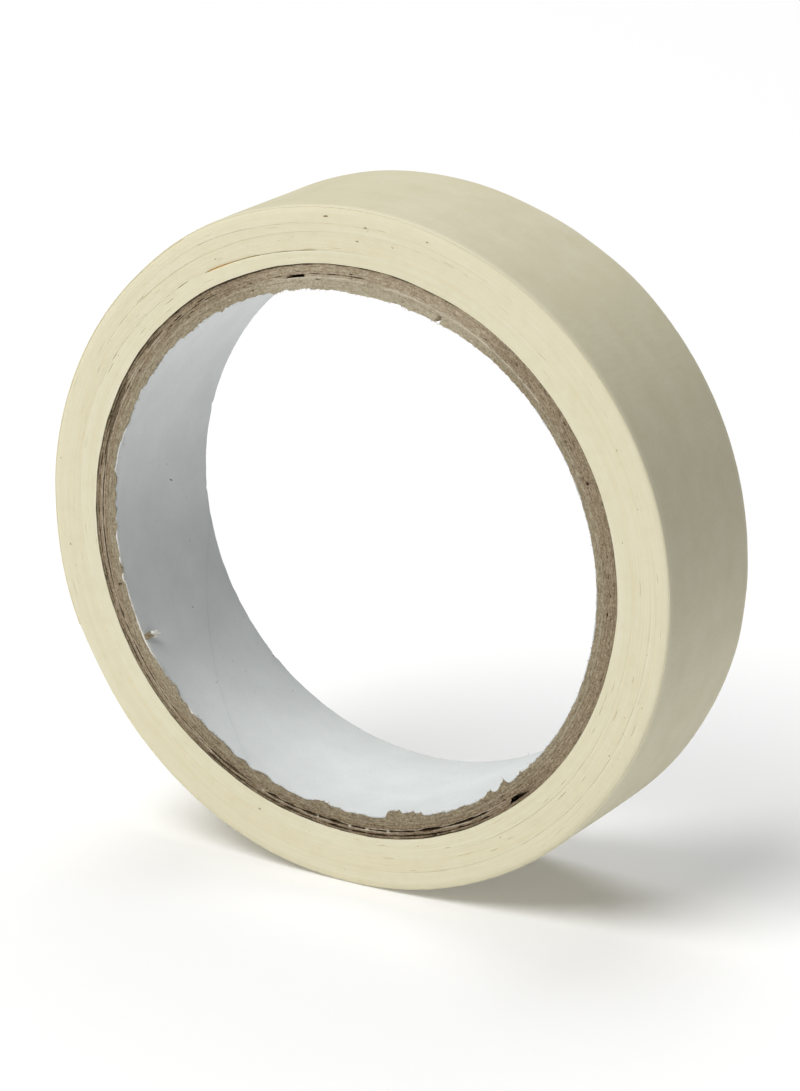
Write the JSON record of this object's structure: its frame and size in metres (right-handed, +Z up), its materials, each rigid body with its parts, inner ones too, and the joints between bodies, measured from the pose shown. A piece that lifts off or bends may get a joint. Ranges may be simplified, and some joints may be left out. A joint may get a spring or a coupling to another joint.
{
  "type": "masking tape roll",
  "caption": "Roll of crepe-paper masking tape wound on a spiral chipboard core with a white paper lining; the free end of the tape peels off the rim.",
  "frame": {"origin": "on the roll's axis, at the middle of the tape's width", "axes": "+Y along the roll's axis, from the front face to the back face; +Z up, with the roll standing on its rim; +X to the right seen from the front face"},
  "size_m": [0.0976, 0.024, 0.0976],
  "materials": {
    "tape": "matte",
    "tape_end": "matte",
    "liner": "satin",
    "chipboard": "matte",
    "chipboard_light": "matte",
    "chipboard_dark": "matte"
  },
  "bodies": {
    "roll": {"core_liner": "liner", "core_ply_1": "chipboard", "core_ply_2": "chipboard_light", "core_ply_3": "chipboard", "core_ply_4": "chipboard_light", "core_ply_5": "chipboard", "core_ply_6": "chipboard_dark", "tape_turns_1": "tape", "tape_turns_2": "tape", "tape_turns_3": "tape", "tape_turns_4": "tape"},
    "end_1": {"tape_end_1": "tape_end"},
    "end_2": {"tape_end_2": "tape_end"},
    "end_3": {"tape_end_3": "tape_end"},
    "end_4": {"tape_end_4": "tape_end"},
    "end_5": {"tape_end_5": "tape_end"},
    "end_6": {"tape_end_6": "tape_end"},
    "end_7": {"tape_end_7": "tape_end"},
    "end_8": {"tape_end_8": "tape_end"}
  },
  "joints": [
    {"name": "peel_1", "type": "hinge", "parent": "roll", "child": "end_1", "pos_m": [-0.02625, 0, 0.0412], "axis": [0, 1, 0], "range_deg": [0, 20]},
    {"name": "peel_2", "type": "hinge", "parent": "end_1", "child": "end_2", "pos_m": [-0.033, 0, 0.03602], "axis": [0, 1, 0], "range_deg": [0, 20]},
    {"name": "peel_3", "type": "hinge", "parent": "end_2", "child": "end_3", "pos_m": [-0.03876, 0, 0.02974], "axis": [0, 1, 0], "range_deg": [0, 20]},
    {"name": "peel_4", "type": "hinge", "parent": "end_3", "child": "end_4", "pos_m": [-0.04333, 0, 0.02256], "axis": [0, 1, 0], "range_deg": [0, 20]},
    {"name": "peel_5", "type": "hinge", "parent": "end_4", "child": "end_5", "pos_m": [-0.04659, 0, 0.01469], "axis": [0, 1, 0], "range_deg": [0, 20]},
    {"name": "peel_6", "type": "hinge", "parent": "end_5", "child": "end_6", "pos_m": [-0.04843, 0, 0.00638], "axis": [0, 1, 0], "range_deg": [0, 20]},
    {"name": "peel_7", "type": "hinge", "parent": "end_6", "child": "end_7", "pos_m": [-0.0488, 0, -0.00213], "axis": [0, 1, 0], "range_deg": [0, 20]},
    {"name": "peel_8", "type": "hinge", "parent": "end_7", "child": "end_8", "pos_m": [-0.04769, 0, -0.01057], "axis": [0, 1, 0], "range_deg": [0, 20]}
  ],
  "couplings": [
    {"joint": "peel_2", "follows": "peel_1", "ratio": 1},
    {"joint": "peel_3", "follows": "peel_1", "ratio": 1},
    {"joint": "peel_4", "follows": "peel_1", "ratio": 1},
    {"joint": "peel_5", "follows": "peel_1", "ratio": 1},
    {"joint": "peel_6", "follows": "peel_1", "ratio": 1},
    {"joint": "peel_7", "follows": "peel_1", "ratio": 1},
    {"joint": "peel_8", "follows": "peel_1", "ratio": 1}
  ]
}
